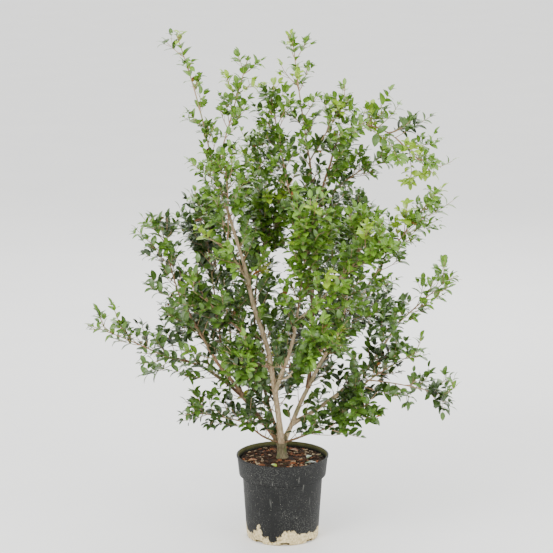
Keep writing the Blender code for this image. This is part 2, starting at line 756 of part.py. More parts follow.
def main():
    clear_scene()
    plant = add_collection("potted_burkwood_osmanthus")
    cutters = add_collection("cutters")
    plastic = add_material("black_plastic", (0.018, 0.018, 0.019), 0.6)
    mix = add_material("potting_mix", (0.045, 0.028, 0.018), 0.95)
    bark = add_material("bark", (0.23, 0.17, 0.11), 0.85)
    green = add_material("leaf_green", (0.07, 0.16, 0.035), 0.42)
    pot = make_pot(plastic, plant)
    make_notches(pot, plastic, cutters)
    make_soil(mix, plant)
    limbs = make_limbs(bark, plant)
    make_foliage(limbs, green, plant)
    for thing in plant.objects:
        if thing.name in ("pot", "soil", "trunk") or thing.name.startswith("bough"):
            thing.data.shade_smooth()
            thing.data.set_sharp_from_angle(angle=math.radians(40))


main()
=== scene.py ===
"""The looks of the potted burkwood osmanthus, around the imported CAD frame.

X runs right, Y away from the front view, Z up, with the origin under the pot. The pot's, mix's
and plant's sizes and tables are in millimetres. Meshes, lamps and the camera are in metres.
"""

import json
import math
import random
from collections import namedtuple

import bmesh
import bpy
import numpy as np
from mathutils import Matrix, Vector, noise

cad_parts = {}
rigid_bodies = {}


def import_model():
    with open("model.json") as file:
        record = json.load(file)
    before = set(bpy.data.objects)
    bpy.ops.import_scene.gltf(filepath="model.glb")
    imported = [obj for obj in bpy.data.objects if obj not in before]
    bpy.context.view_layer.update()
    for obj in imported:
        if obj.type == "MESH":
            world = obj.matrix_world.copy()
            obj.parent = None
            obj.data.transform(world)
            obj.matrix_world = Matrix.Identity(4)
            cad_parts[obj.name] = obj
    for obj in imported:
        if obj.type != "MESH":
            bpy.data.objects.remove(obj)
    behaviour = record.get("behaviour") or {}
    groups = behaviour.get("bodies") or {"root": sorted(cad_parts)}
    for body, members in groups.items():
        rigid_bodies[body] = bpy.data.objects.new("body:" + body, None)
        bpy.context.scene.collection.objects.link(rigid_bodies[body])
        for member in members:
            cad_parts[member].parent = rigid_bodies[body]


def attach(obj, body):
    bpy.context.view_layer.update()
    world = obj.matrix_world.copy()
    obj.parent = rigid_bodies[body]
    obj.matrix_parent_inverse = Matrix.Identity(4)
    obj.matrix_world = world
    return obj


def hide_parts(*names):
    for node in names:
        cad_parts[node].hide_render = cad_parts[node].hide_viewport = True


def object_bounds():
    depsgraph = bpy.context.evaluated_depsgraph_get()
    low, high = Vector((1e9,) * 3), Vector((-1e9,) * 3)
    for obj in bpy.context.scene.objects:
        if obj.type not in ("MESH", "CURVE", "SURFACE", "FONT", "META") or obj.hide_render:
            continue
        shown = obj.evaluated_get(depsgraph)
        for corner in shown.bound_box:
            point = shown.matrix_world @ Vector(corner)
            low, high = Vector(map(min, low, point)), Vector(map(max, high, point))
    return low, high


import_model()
CAD_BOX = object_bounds()

MM = 0.001
SEED = 20

# The pot, as in the source.
RIM_RADIUS = 130.0
POT_HEIGHT = 238.0
COLLAR_HEIGHT = 57.0
COLLAR_FOOT_RADIUS = 122.5
BODY_TOP_RADIUS = 113.0
BASE_RADIUS = 101.0
WALL = 2.2
NOTCH_COUNT = 8
NOTCH_SIZE = (20.0, 26.0, 18.0)
NOTCH_TURN = math.radians(-86)
POT_STEPS = 144
POT_EDGE_ANGLE = math.radians(35)
SPUN_MERGE = 1e-5

# The mix: rings of its top, its section below, and the height above which it is crumbly. It
# falls towards the wall. Each kind of lump has its width, its own level of noise and its rise.
SOIL_TOP = 228.0
SOIL_RADIUS = 118.5
SOIL_STEPS = 120
SOIL_RINGS = 26
SOIL_UNDERSIDE = [(109.0, 176.0), (97.0, 12.0), (0.0, 12.0)]
SOIL_EDGE = 200.0
SOIL_SETTLED = 0.5
SOIL_FALL = 3.5
SOIL_ROUNDING = 1.5
SOIL_LUMPS = ((16, 0, 1.6), (5, 5, 0.9))

# Bark chips: dark and light colour and count of each kind, then the least and most of each
# side, how near the wall they lie, how deep, turned and tilted, and how far a corner is pushed.
CHIP_KINDS = {
    "chips_brown": ("3a281b", "5c4330", 230),
    "chips_orange": ("7a4228", "9c6644", 75),
    "chips_pale": ("8f7a5e", "b8a486", 60),
    "chips_dark": ("2a1c14", "3f2c20", 200),
}
CHIP_SIDES = ((5, 17), (3, 8), (1.5, 3.5))
CHIP_MARGIN = 7
CHIP_SINK = 0.3
CHIP_HEADING = 6.3
CHIP_TILT = 0.3
CHIP_PUSH = 0.9

# Leaves lying on the mix: place, heading in degrees, length and kind. Each lies on its crumbs
# with its tip a little raised.
FALLEN = (
    ((62.0, -58.0), 10, 34.0, "shade"),
    ((70.0, -10.0), 70, 28.0, "half_shaded_mature"),
    ((-18.0, -88.0), 120, 26.0, "young"),
    ((-70.0, -30.0), 200, 30.0, "dead"),
    ((20.0, 75.0), 320, 32.0, "dead"),
)
FALLEN_TIP = 0.08
FALLEN_GAP = 3.0
FALLEN_ARCH = 0.2

# The studio, in metres: a lamp's place, what it is aimed at, its width and its power.
LAMPS = (
    ("key", (-2.2, -3.2, 3.6), (0, 0, 0.8), 2.4, 170),
    ("fill", (3.0, -2.4, 2.2), (0, 0, 0.7), 3.0, 70),
    ("rear", (0.6, 3.2, 3.0), (0, 0, 0.9), 2.6, 90),
)
SKY_STRENGTH = 1.9
FLOOR_SIZE = 40.0
FLOOR_GAP = 0.0005
CAMERA_LENS = 150
CAMERA_SENSOR = 36
CAMERA_PLACE = (-0.017, -6.23, 2.13)
CAMERA_DIP = 12.49

TRUNK_FOOT = Vector((-1.0, 0.0, 228.3))
TRUNK_TOP = Vector((-4.0, 0.0, 289.0))
TRUNK_PROFILE = (
    (0.0, 18.5), (0.08, 15.5), (0.25, 13.4), (0.5, 13.2), (0.78, 15.6), (1.0, 18.5), (1.1, 13.0)
)

Bough = namedtuple("Bough", "parent along tip bow thick thin offset", defaults=((0, 0, 0),))
BOUGHS = {
    "bough_front_left": Bough("trunk", 1.0, (-185, -70, 1045), (26, -22, 0), 8.6, 3.3, (1, -9, 0)),
    "bough_left": Bough("trunk", 1.0, (-285, -38, 705), (-16, -4, 0), 6.6, 2.9, (-12, 3, 0)),
    "bough_right": Bough("trunk", 1.0, (244, -30, 745), (-12, 12, 0), 7.0, 3.0, (12, 4, 0)),
    "bough_rear_centre": Bough("trunk", 1.0, (-72, 105, 715), (-30, 20, 0), 5.2, 2.8, (0, 13, 0)),
    "bough_left_low": Bough("trunk", 0.74, (-104, -52, 345), (0, -8, -8), 3.4, 2.2),
    "bough_right_low": Bough("trunk", 0.72, (128, -92, 342), (0, -12, 4), 3.4, 2.2),
    "bough_lower_right": Bough("bough_right", 0.11, (318, -15, 618), (22, 12, -26), 6.2, 3.0),
    "bough_far_low_right": Bough("bough_lower_right", 0.46, (240, -62, 470), (0, -6, -8), 3.4, 2.4),
    "bough_front": Bough("bough_front_left", 0.20, (42, -132, 690), (8, -20, 0), 6.6, 3.2),
    "bough_front_right": Bough("bough_front", 0.88, (142, -178, 775), (0, -6, -10), 2.8, 2.2),
    "bough_front_low": Bough("bough_front", 0.18, (32, -158, 530), (0, -12, -10), 3.4, 2.5),
    "bough_shoulder": Bough("bough_front_left", 0.62, (-150, -112, 868), (-4, -10, 0), 2.8, 2.2),
    "bough_left_inner": Bough("bough_front_left", 0.33, (-98, -98, 600), (0, -8, -6), 3.2, 2.3),
    "bough_left_long": Bough("bough_left", 0.26, (-322, 38, 508), (0, 8, 28), 4.8, 3.0),
    "bough_left_rear": Bough("bough_left", 0.44, (-192, 98, 680), (-8, 12, 0), 3.6, 2.4),
    "bough_centre": Bough("bough_right", 0.33, (75, 52, 1065), (16, 24, 0), 5.4, 2.9),
    "bough_centre_left": Bough("bough_centre", 0.66, (18, 4, 985), (0, 8, -6), 2.8, 2.1),
    "bough_arch_rise": Bough("bough_centre", 0.62, (157, 20, 1146), (-8, 10, 12), 3.4, 2.7),
    "bough_arch_over": Bough("bough_arch_rise", 1.0, (313, 10, 1133), (-4, 2, 30), 2.6, 1.8),
    "bough_arch_inner": Bough("bough_centre", 0.50, (146, 74, 985), (-6, 6, -10), 2.8, 2.1),
    "bough_right_inner": Bough("bough_right", 0.62, (176, -98, 720), (4, -10, 0), 3.0, 2.2),
    "bough_rear_left": Bough("bough_left", 0.32, (-150, 175, 610), (-10, 16, -16), 3.8, 2.6),
    "bough_rear_right": Bough("bough_right", 0.40, (158, 175, 630), (8, 16, -16), 3.8, 2.6),
    "bough_rear_low": Bough("bough_rear_centre", 0.24, (8, 165, 470), (0, 10, -14), 3.4, 2.6),
}
PALE_BOUGHS = (
    "bough_front_left", "bough_front", "bough_front_right", "bough_front_low", "bough_shoulder",
    "bough_left_inner", "bough_right", "bough_lower_right", "bough_right_inner",
)

# Each mass: its bough, its reach, its spread, how thickly it is leaved and how bright it is,
# where the brightness is painted shade low down and at the rear, and painted light at the top
# and front.
Mass = namedtuple("Mass", "bough reach spread thick tone along", defaults=(1.0,))
MASSES = {
    "foliage_top_left": Mass("bough_front_left", (-292, -40, 1447), 84, 0.6, 0.5),
    "foliage_upper_left": Mass("bough_front_left", (-88, -110, 1388), 84, 0.62, 0.52),
    "foliage_shoulder": Mass("bough_shoulder", (-160, -150, 1140), 118, 0.8, 0.55),
    "foliage_left_inner": Mass("bough_left_inner", (-262, -190, 770), 128, 0.82, 0.38),
    "foliage_far_left": Mass("bough_left_long", (-552, 20, 612), 104, 0.5, 0.42),
    "foliage_left": Mass("bough_left", (-340, -30, 940), 124, 0.72, 0.45),
    "foliage_left_rear": Mass("bough_left_rear", (-232, 150, 965), 124, 0.9, 0.3),
    "foliage_low_left": Mass("bough_left_low", (-278, -96, 392), 106, 0.7, 0.25),
    "foliage_top_centre": Mass("bough_centre", (24, 40, 1424), 84, 0.75, 0.55),
    "foliage_upper_right": Mass("bough_centre", (192, 10, 1264), 86, 0.9, 0.6),
    "foliage_upper_middle": Mass("bough_centre_left", (-38, -20, 1285), 104, 1.0, 0.5),
    "foliage_centre": Mass("bough_rear_centre", (5, 20, 1010), 128, 1.4, 0.58),
    "foliage_rear_top": Mass("bough_rear_centre", (-50, 235, 1140), 124, 0.85, 0.5),
    "foliage_arch_top": Mass("bough_arch_rise", (292, 44, 1208), 56, 0.9, 0.85, 0.94),
    "foliage_arch_end": Mass("bough_arch_over", (430, 0, 1022), 92, 0.8, 0.75),
    "foliage_arch_inner": Mass("bough_arch_inner", (314, 100, 1098), 72, 1.0, 0.65),
    "foliage_front": Mass("bough_front", (88, -205, 995), 122, 1.35, 0.6),
    "foliage_front_right": Mass("bough_front_right", (290, -240, 925), 108, 1.0, 0.65),
    "foliage_front_low": Mass("bough_front_low", (150, -335, 650), 128, 1.1, 0.5),
    "foliage_front_left": Mass("bough_front_low", (-130, -320, 575), 128, 1.1, 0.35),
    "foliage_right": Mass("bough_right", (432, -40, 1012), 122, 0.68, 0.62),
    "foliage_right_inner": Mass("bough_right_inner", (236, -95, 965), 112, 1.0, 0.62),
    "foliage_far_right": Mass("bough_lower_right", (482, -20, 770), 100, 0.6, 0.52),
    "foliage_right_middle": Mass("bough_far_low_right", (402, -40, 560), 98, 0.72, 0.42),
    "foliage_far_low_right": Mass("bough_far_low_right", (476, -65, 420), 86, 0.8, 0.4),
    "foliage_low_right": Mass("bough_right_low", (250, -215, 455), 112, 1.0, 0.4),
    "foliage_rear_left_high": Mass("bough_rear_left", (-235, 340, 890), 132, 0.9, 0.4),
    "foliage_rear_left_low": Mass("bough_rear_left", (-335, 310, 525), 122, 0.8, 0.35),
    "foliage_rear_right_high": Mass("bough_rear_right", (235, 330, 930), 132, 0.9, 0.4),
    "foliage_rear_right_low": Mass("bough_rear_right", (345, 295, 545), 122, 0.8, 0.35),
    "foliage_rear_low": Mass("bough_rear_low", (20, 415, 490), 128, 0.9, 0.3),
}
MASS_NAMES = list(MASSES)

UP = Vector((0, 0, 1))
ASKEW = Vector((0.31, 0.92, 0.24))

# Limbs: where they leave the fork, how far they waver in a slow wave and a quick one each way,
# how they swell at the foot, and the ridges of their bark.
FORK_POINT = 6
FORK_INSET = 0.35
FORK_SINK = Vector((0, 0, 14))
BOUGH_STEPS = 26
BOUGH_WAVER = 0.006
SIDE_WAVES = (9, 21)
AWAY_WAVES = (8, 19)
QUICK_WAVE = 0.5
BOUGH_TAPER = 0.9
FOOT_SWELLS = (1.5, 1.16)
FINE_STEPS = 4
LIMB_MERGE = 1e-6
TRUNK_ROUNDING = 10
BOUGH_ROUNDING = 3
BARK_RELIEF = 0.55

# Each kind of ridge: how many to a metre, its squeeze along Z and its share of the relief.
BARK_RIDGES = ((90, 0.5, 0.8), (420, 0.3, 0.5))

# The crown's space: a mass is widest at its middle and may pass a little into its neighbour's.
SPREAD_SHARE = 1.3
BOX_MARGIN = 8.0
MASS_NECK = 0.42
MASS_BELLY = 0.58
MASS_WAVE = 0.9
MASS_WAVE_START = 0.08
MASS_OVERLAP = 0.25
LOWEST_LEAF = POT_HEIGHT + 10.0
LOWEST_SIDE_LEAF = POT_HEIGHT + 56.0

# Bare stems stand in front of the leaves, seen from the front and a little above.
BARE_STEMS = (
    ("bough_front_left", 0.05, 0.86), ("bough_front", 0.1, 0.72), ("bough_right", 0.1, 0.55)
)
BARE_STEP = 12.0
BARE_HALF = 11.0
VIEW_SLOPE = math.tan(math.radians(12.5))

# Stems and twigs. FEET are the shares of a stem between which shoots leave it, REACH is a share
# of the mass's width there, and a SPLAY is how far a shoot runs along what bears it, and aside.
STEM_STEPS = 10
STEM_RADIUS = 2.4
STEM_TIP_RADIUS = 1.2
STEM_SHORT = 0.7
STEM_SAG = 0.03
STEM_ARCH = 0.6
TWIG_TOTAL = 600
TWIG_STEPS = 4
TWIG_SIDES = 5
TWIG_RADIUS = 1.35
TWIG_TIP_RADIUS = 0.7
TWIG_FEET = (0.03, 0.97)
TWIG_BEHIND = 0.03
TWIG_AHEAD = 0.04
TWIG_TESTED = 0.6
TWIG_SPLAY = (math.cos(math.radians(46)), math.sin(math.radians(46)))
TWIG_LIFT = Vector((0, 0, 0.3))
TWIG_INNER = 0.9
TWIG_REACH = (0.45, 1.15)
TWIG_LEAST = 22.0
TWIG_MARGIN = 12.0
TWIG_BOW = 0.035
TWIG_DROOP = -1.2
CHOICES = 6
FORKS = 2
FORK_FEET = (0.3, 0.8)
FORK_SPLAY = (0.72, 0.62)
FORK_LIFT = Vector((0, 0, 0.15))
FORK_LENGTH = (18, 38)
FORK_TAPER = 0.7
SIDE_TWIG_STEP = 15.0
SIDE_TWIG_FROM = 0.1
SIDE_TWIG_BEHIND = 0.05
SIDE_TWIG_LEAST = 305.0
SIDE_SPLAY = (0.6, 0.8)
SIDE_TWIG_LENGTH = (45, 125)

# Leaves, near life size, in opposite pairs, smaller towards the twig's tip. Angles are in
# degrees, except a pair's turn, and a blade's fold, swell, droop and pull are shares of its size.
LEAF_LENGTH = 36.0
LEAF_WIDTH = 0.54
LEAF_ROWS = 10
LEAF_POINT = 0.008
LEAF_FULLNESS = 0.66
LEAF_MIDDLE = 0.95
LEAF_TEETH = (0.985, 1.02)
LEAF_SWELL = 0.05
LEAF_DROOP = 0.3
LEAF_CURL = 2.4
LEAF_PULL = 0.09
LEAF_FOLD = 0.22
LEAF_ARCHES = (0.15, 0.45, 0.8)
LEAVES_A_PIECE = 4500
NODE_STEP = 15.5
OPEN_NODE_STEP = 20.0
OPEN_THICKNESS = 0.78
NODE_STEP_RANGE = (0.75, 1.25)
FIRST_PAIR = 1.0
PAIR_TURN = (-0.5, 0.5)
BARE_FOOT = (0.25, 0.5)
TIP_LEAF = (0.5, 0.8)
TIP_LEAF_ARCH = (0.1, 0.5)
LEAF_OPENING = (40, 68)
YOUNG_LEAF = 0.62
LEAF_GAIN = 0.4
LEAF_SIZES = (0.82, 1.12)
LEAF_ARCH = (0.15, 0.85)
LOWEST_POINTING = -0.3
LEAF_LIFT = Vector((0, 0, 0.25))
LEAF_LEAN = 0.5
LEAF_SWAY = 0.3
LEAF_TESTED = (0.5, 1.0)
YELLOW_SHARE = 0.008
DEAD_SHARE = 0.004

# How bright a spray is: its scatter, the gain at stem tips and outwards, and with height. On
# side twigs it also falls off towards the rear. The gain with height is painted light and the
# fall to the rear painted shade; at tips and outwards it is new growth and painted light.
TONE_SCATTER = 0.13
STEM_END_TONE = 0.15
OUTER_TONE = 0.25
MIDDLE_HEIGHT = 700.0
TONE_RISE = 4500.0
SIDE_TONE = 0.25
LOWEST_HEIGHT = 300
SIDE_TONE_RISE = 2400
SIDE_TONE_DEPTH = 1500

# Leaf kinds, darkest first: the tone up to which a spray takes it, its two greens, its midrib.
# The first four run from painted shade deep in the crown, through a half-shaded green, to
# painted light on top and in front; the lightest is also the lime of new growth. Yellow and
# dead leaves are their own colours.
Leaf = namedtuple("Leaf", "tone low high rib")
LEAF_KINDS = {
    "shade": Leaf(0.26, "24370f", "344b19", "46602a"),
    "half_shaded_mature": Leaf(0.56, "3d5a18", "4f7022", "63803a"),
    "lit_fresh": Leaf(0.88, "557b1e", "6a902a", "90ab50"),
    "young": Leaf(math.inf, "83a528", "9cbc36", "90ab50"),
    "yellow": Leaf(None, "b9c846", "cdd558", "90ab50"),
    "dead": Leaf(None, "7a4526", "96603a", "90ab50"),
}

# A layer of colour or wear: the size of its spots in millimetres, and the noise from which it
# starts to show and at which it covers. A squeeze along Z draws its spots out upright. Bark's
# streaks, the crumbs, the chips' fibre, the dust and the plastic's grain are finer in life, and
# drawn as coarse as they need to show.
Layer = namedtuple(
    "Layer", "size detail low high colour squeeze turn", defaults=(None, (1, 1, 1), (0, 0, 0))
)

# The sockets of a colour mix.
COLOUR_UNDER = 6
COLOUR_OVER = 7
COLOUR_MIXED = 2


def linear(code):
    """An sRGB hex colour as linear red, green, blue and alpha."""
    parts = [int(code[k:k + 2], 16) / 255 for k in (0, 2, 4)]
    flat = [c / 12.92 if c <= 0.04045 else ((c + 0.055) / 1.055) ** 2.4 for c in parts]
    return (*flat, 1.0)


def add_node(tree, kind, inputs=None, **settings):
    """One node with its settings, each input given a value or the socket that feeds it."""
    made = tree.nodes.new(kind)
    for key, value in settings.items():
        setattr(made, key, value)
    for key, value in (inputs or {}).items():
        if isinstance(value, bpy.types.NodeSocket):
            tree.links.new(value, made.inputs[key])
        else:
            made.inputs[key].default_value = value
    return made


def new_material(name, roughness, specular):
    made = bpy.data.materials.new(name)
    made.use_nodes = True
    shader = made.node_tree.nodes["Principled BSDF"]
    shader.inputs["Roughness"].default_value = roughness
    shader.inputs["Specular IOR Level"].default_value = specular
    return made, made.node_tree, shader


def cover(tree, places, layer):
    """How far a layer covers each place, from 0 to 1."""
    mapped = add_node(
        tree, "ShaderNodeMapping",
        {"Vector": places, "Rotation": layer.turn, "Scale": layer.squeeze},
    )
    spots = add_node(
        tree, "ShaderNodeTexNoise",
        {"Vector": mapped.outputs["Vector"], "Scale": 1 / (layer.size * MM), "Detail": layer.detail},
    )
    shown = add_node(
        tree, "ShaderNodeMapRange",
        {"Value": spots.outputs["Fac"], "From Min": layer.low, "From Max": layer.high},
    )
    return shown.outputs["Result"]


def lay_colours(tree, places, colour, layers):
    """The colour under all its layers, and how far each of them covers."""
    covers = []
    for layer in layers:
        covers.append(cover(tree, places, layer))
        mix = add_node(
            tree, "ShaderNodeMix",
            {"Factor": covers[-1], COLOUR_UNDER: colour, COLOUR_OVER: linear(layer.colour)},
            data_type="RGBA",
        )
        colour = mix.outputs[COLOUR_MIXED]
    return colour, covers


def rough_material(name, roughness, specular, base, layers, depth, strength):
    """A dull material in layers of colour, where the first layer also stands up as relief."""
    made, tree, shader = new_material(name, roughness, specular)
    places = add_node(tree, "ShaderNodeTexCoord").outputs["Object"]
    colour, covers = lay_colours(tree, places, linear(base), layers)
    relief = add_node(
        tree, "ShaderNodeBump", {"Height": covers[0], "Distance": depth, "Strength": strength}
    )
    tree.links.new(colour, shader.inputs["Base Color"])
    tree.links.new(relief.outputs["Normal"], shader.inputs["Normal"])
    return made


def bark_material(name, low, high, film):
    """Young bark: smooth and dull, in fine streaks along the limb, with patches of green film."""
    layers = (
        Layer(3.8462, 5.0, 0.35, 0.68, high, squeeze=(1, 1, 0.28)),
        Layer(29.412, 3.0, 0.5, 0.72, film),
    )
    return rough_material(
        name, roughness=0.78, specular=0.3, base=low, layers=layers, depth=0.0008, strength=0.5
    )


def soil_material():
    """Peat-based mix: nearly black, crumbly and quite matte, with a trace of green film."""
    layers = (Layer(3.3333, 6.0, 0.35, 0.7, "46362a"), Layer(33.333, 3.0, 0.56, 0.7, "4a5230"))
    return rough_material(
        "peat_mix", roughness=0.95, specular=0.2, base="1c1511", layers=layers, depth=0.002,
        strength=0.8,
    )


def chip_material(name, low, high):
    """Composted pine bark: fibrous chips, dull, brown to orange."""
    layers = (Layer(2.0, 5.0, 0.3, 0.7, high),)
    return rough_material(
        name, roughness=0.9, specular=0.2, base=low, layers=layers, depth=0.0008, strength=0.6
    )


def leaf_material(kind):
    """Evergreen leaf: waxy, so it shines softly, and two greens in patches with a paler midrib."""
    leaf = LEAF_KINDS[kind]
    dead = kind == "dead"
    made, tree, shader = new_material(
        "waxy_leaf_" + kind, roughness=0.62 if dead else 0.36, specular=0.3 if dead else 0.5
    )
    shader.inputs["Coat Weight"].default_value = 0.0 if dead else 0.22
    shader.inputs["Coat Roughness"].default_value = 0.3
    places = add_node(tree, "ShaderNodeTexCoord")
    patches = (Layer(38.462, 2.0, 0.35, 0.65, leaf.high),)
    body, _ = lay_colours(tree, places.outputs["Object"], linear(leaf.low), patches)
    across = add_node(tree, "ShaderNodeSeparateXYZ", {"Vector": places.outputs["UV"]})
    off = add_node(tree, "ShaderNodeMath", {0: across.outputs["Y"], 1: 0.5}, operation="SUBTRACT")
    away = add_node(tree, "ShaderNodeMath", {0: off.outputs[0]}, operation="ABSOLUTE")
    rib = add_node(
        tree, "ShaderNodeMapRange", {"Value": away.outputs[0], "From Min": 0.045, "From Max": 0.015}
    )
    ribbed = add_node(
        tree, "ShaderNodeMix",
        {"Factor": rib.outputs["Result"], COLOUR_UNDER: body, COLOUR_OVER: linear(leaf.rib)},
        data_type="RGBA",
    )
    relief = add_node(
        tree, "ShaderNodeBump",
        {"Height": rib.outputs["Result"], "Distance": 0.0006, "Strength": 0.35},
    )
    tree.links.new(ribbed.outputs[COLOUR_MIXED], shader.inputs["Base Color"])
    tree.links.new(relief.outputs["Normal"], shader.inputs["Normal"])
    return made


# The pot's wear: dust in the plastic's grain, in broad clouds, then scuffs, specks and scratches.
DUST = Layer(3.0303, 8.0, 0.5, 0.86)
DUST_CLOUD = Layer(111.11, 2.0, 0.38, 0.62)
POT_WEAR = (
    Layer(5.8824, 5.0, 0.64, 0.9, "74746f", squeeze=(1, 1, 0.08)),
    Layer(2.381, 2.0, 0.7, 0.78, "a8a49a"),
    Layer(3.0303, 3.0, 0.7, 0.8, "8a8881", squeeze=(1, 1, 0.06), turn=(0, 0.7, 0.3)),
)
POT_GRAIN = Layer(1.4286, 3.0, 0.0, 1.0)

# Dried mud up to a ragged height, caked in two shades, and green film inside the rim. These
# heights and radii are in metres, as the nodes read them.
RAGGED = Layer(41.667, 7.0, 0.0, 1.0)
MUD_RISE = -0.13
MUD_FOOT = 0.038
MUD_EDGE = (0.003, -0.002)
MUD_CAKE = Layer(6.25, 6.0, 0.3, 0.66, "e4d3a6")
INNER_RADII = (0.1262, 0.1248)
FILM_HEIGHTS = (0.224, 0.234)


def pot_material():
    """Recycled black polypropylene, moulded: nearly matte, dusty and scuffed, mud at its foot."""
    made, tree, shader = new_material("recycled_black_plastic", roughness=0.62, specular=0.3)
    places = add_node(tree, "ShaderNodeTexCoord").outputs["Object"]
    height = add_node(tree, "ShaderNodeSeparateXYZ", {"Vector": places}).outputs["Z"]
    dust = add_node(
        tree, "ShaderNodeMath",
        {0: cover(tree, places, DUST), 1: cover(tree, places, DUST_CLOUD)}, operation="MULTIPLY",
    )
    dusty = add_node(
        tree, "ShaderNodeMix",
        {"Factor": dust.outputs[0], COLOUR_UNDER: linear("0d0e0e"), COLOUR_OVER: linear("63635f")},
        data_type="RGBA",
    )
    worn, _ = lay_colours(tree, places, dusty.outputs[COLOUR_MIXED], POT_WEAR)
    ragged = cover(tree, places, RAGGED)
    lowered = add_node(
        tree, "ShaderNodeMath", {0: ragged, 1: MUD_RISE, 2: MUD_FOOT}, operation="MULTIPLY_ADD"
    )
    above = add_node(tree, "ShaderNodeMath", {0: height, 1: lowered.outputs[0]}, operation="ADD")
    mud = add_node(
        tree, "ShaderNodeMapRange",
        {"Value": above.outputs[0], "From Min": MUD_EDGE[0], "From Max": MUD_EDGE[1]},
    )
    caked, _ = lay_colours(tree, places, linear("9a8656"), (MUD_CAKE,))
    muddy = add_node(
        tree, "ShaderNodeMix",
        {"Factor": mud.outputs["Result"], COLOUR_UNDER: worn, COLOUR_OVER: caked}, data_type="RGBA",
    )
    flat = add_node(tree, "ShaderNodeMapping", {"Vector": places, "Scale": (1, 1, 0)})
    radius = add_node(
        tree, "ShaderNodeVectorMath", {0: flat.outputs["Vector"]}, operation="LENGTH"
    )
    film = ragged
    for socket, ends in ((radius.outputs["Value"], INNER_RADII), (height, FILM_HEIGHTS)):
        within = add_node(
            tree, "ShaderNodeMapRange", {"Value": socket, "From Min": ends[0], "From Max": ends[1]}
        )
        film = add_node(
            tree, "ShaderNodeMath", {0: film, 1: within.outputs["Result"]}, operation="MULTIPLY"
        ).outputs[0]
    filmed = add_node(
        tree, "ShaderNodeMix",
        {"Factor": film, COLOUR_UNDER: muddy.outputs[COLOUR_MIXED], COLOUR_OVER: linear("8a8a4c")},
        data_type="RGBA",
    )
    grain = add_node(
        tree, "ShaderNodeBump",
        {"Height": cover(tree, places, POT_GRAIN), "Distance": 0.0004, "Strength": 0.25},
    )
    tree.links.new(filmed.outputs[COLOUR_MIXED], shader.inputs["Base Color"])
    tree.links.new(grain.outputs["Normal"], shader.inputs["Normal"])
    return made


def floor_material():
    """Painted studio floor: matte off-white, with the faintest clouding."""
    made, tree, shader = new_material("studio_floor", roughness=0.9, specular=0.1)
    places = add_node(tree, "ShaderNodeTexCoord").outputs["Object"]
    clouding = (Layer(333.33, 2.0, 0.0, 1.0, "f2f2f0"),)
    tone, _ = lay_colours(tree, places, linear("ececea"), clouding)
    tree.links.new(tone, shader.inputs["Base Color"])
    return made


def finish_piece(piece, material, nodes=()):
    piece.data.materials.clear()
    piece.data.materials.append(material)
    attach(piece, "root")
    if nodes:
        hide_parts(*nodes)
    return piece


def link_mesh(name, mesh):
    made = bpy.data.objects.new(name, mesh)
    bpy.context.scene.collection.objects.link(made)
    return made


def select_only(thing):
    bpy.ops.object.select_all(action="DESELECT")
    thing.select_set(True)
    bpy.context.view_layer.objects.active = thing


def mesh_of_arrays(name, points, faces, uvs):
    """A mesh from an array of places, an array of four-cornered faces and each corner's UV."""
    mesh = bpy.data.meshes.new(name)
    mesh.vertices.add(len(points))
    mesh.vertices.foreach_set("co", np.asarray(points, np.float32).ravel())
    count, sides = faces.shape
    mesh.loops.add(count * sides)
    mesh.loops.foreach_set("vertex_index", faces.ravel().astype(np.int32))
    mesh.polygons.add(count)
    mesh.polygons.foreach_set("loop_start", np.arange(0, count * sides, sides, dtype=np.int32))
    layer = mesh.uv_layers.new(name="leaf")
    layer.data.foreach_set("uv", uvs[faces.ravel()].astype(np.float32).ravel())
    mesh.update(calc_edges=True)
    mesh.validate()
    mesh.shade_smooth()
    return mesh


def bend(start, tip, bow, steps):
    """Points along a curve whose middle stands off the straight line by the bow."""
    control = (start + tip) / 2 + 2 * bow
    shares = [k / steps for k in range(steps + 1)]
    return [start * (1 - s) ** 2 + control * (2 * s * (1 - s)) + tip * s**2 for s in shares]


def point_along(points, share):
    place = share * (len(points) - 1)
    k = min(int(place), len(points) - 2)
    return points[k].lerp(points[k + 1], place - k)


def make_paths():
    """Every limb's path and radii; a bough starts inside its parent, so the two grow together."""
    trunk = [TRUNK_FOOT.lerp(TRUNK_TOP, share) for share, _ in TRUNK_PROFILE]
    paths = {"trunk": (trunk, [radius for _, radius in TRUNK_PROFILE])}
    for name, bough in BOUGHS.items():
        rng = random.Random(f"{SEED} {name}")
        parent, _ = paths[bough.parent]
        if bough.parent == "trunk":
            parent = parent[:FORK_POINT]
        start = point_along(parent, bough.along) + Vector(bough.offset)
        if bough.parent == "trunk" and bough.along == 1.0:
            start = start - Vector(bough.offset) * FORK_INSET - FORK_SINK
        points = bend(start, Vector(bough.tip), Vector(bough.bow), BOUGH_STEPS)
        phases = [rng.uniform(0, 2 * math.pi) for _ in range(4)]
        waver = (points[-1] - points[0]).length * BOUGH_WAVER
        radii = []
        for k, point in enumerate(points):
            s = k / BOUGH_STEPS
            hold = math.sin(math.pi * s) * waver
            side = math.sin(SIDE_WAVES[0] * s + phases[0])
            side += QUICK_WAVE * math.sin(SIDE_WAVES[1] * s + phases[1])
            away = math.sin(AWAY_WAVES[0] * s + phases[2])
            away += QUICK_WAVE * math.sin(AWAY_WAVES[1] * s + phases[3])
            points[k] = point + Vector((side, away, 0)) * hold
            radii.append(bough.thin + (bough.thick - bough.thin) * (1 - s) ** BOUGH_TAPER)
        for k, swell in enumerate(FOOT_SWELLS):
            radii[k] *= swell
        paths[name] = (points, radii)
    return paths


